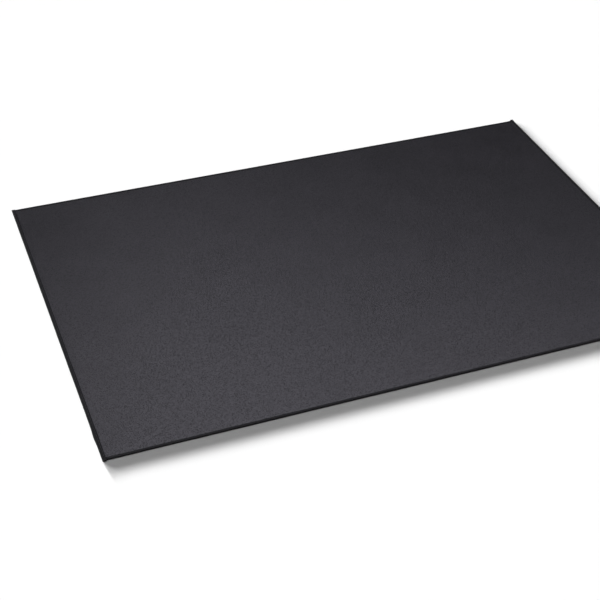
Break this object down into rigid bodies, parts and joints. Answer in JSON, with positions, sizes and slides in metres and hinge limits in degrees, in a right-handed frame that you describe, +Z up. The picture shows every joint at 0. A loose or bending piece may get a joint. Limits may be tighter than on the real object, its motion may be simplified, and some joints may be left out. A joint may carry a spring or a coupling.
{
  "type": "self healing mat",
  "caption": "Thin rectangular bench mat for cutting and leatherwork: a laminate of soft and stiff plies, edge bound in folded, sewn black tape.",
  "frame": {"origin": "on the underside, at the middle of the mat", "axes": "+Z up out of the working surface, +X along the length, -Y towards the front edge"},
  "size_m": [0.9, 0.6024, 0.0027],
  "materials": {
    "skin": "fine matte grain, charcoal",
    "healing_ply": "soft vinyl, dull",
    "core": "stiff vinyl sheet, dull",
    "backing": "fine pebbled non-slip rubber",
    "tape": "woven black binding tape",
    "thread": "twisted black sewing thread"
  },
  "bodies": {
    "root": {"top_skin": "skin", "upper_healing_ply": "healing_ply", "stiff_core": "core", "lower_healing_ply": "healing_ply", "nonslip_backing": "backing", "front_binding": "tape", "back_binding": "tape", "left_binding": "tape", "right_binding": "tape", "front_needle_thread": "thread", "back_needle_thread": "thread", "left_needle_thread": "thread", "right_needle_thread": "thread", "front_bobbin_thread": "thread", "back_bobbin_thread": "thread", "left_bobbin_thread": "thread", "right_bobbin_thread": "thread"}
  },
  "joints": []
}
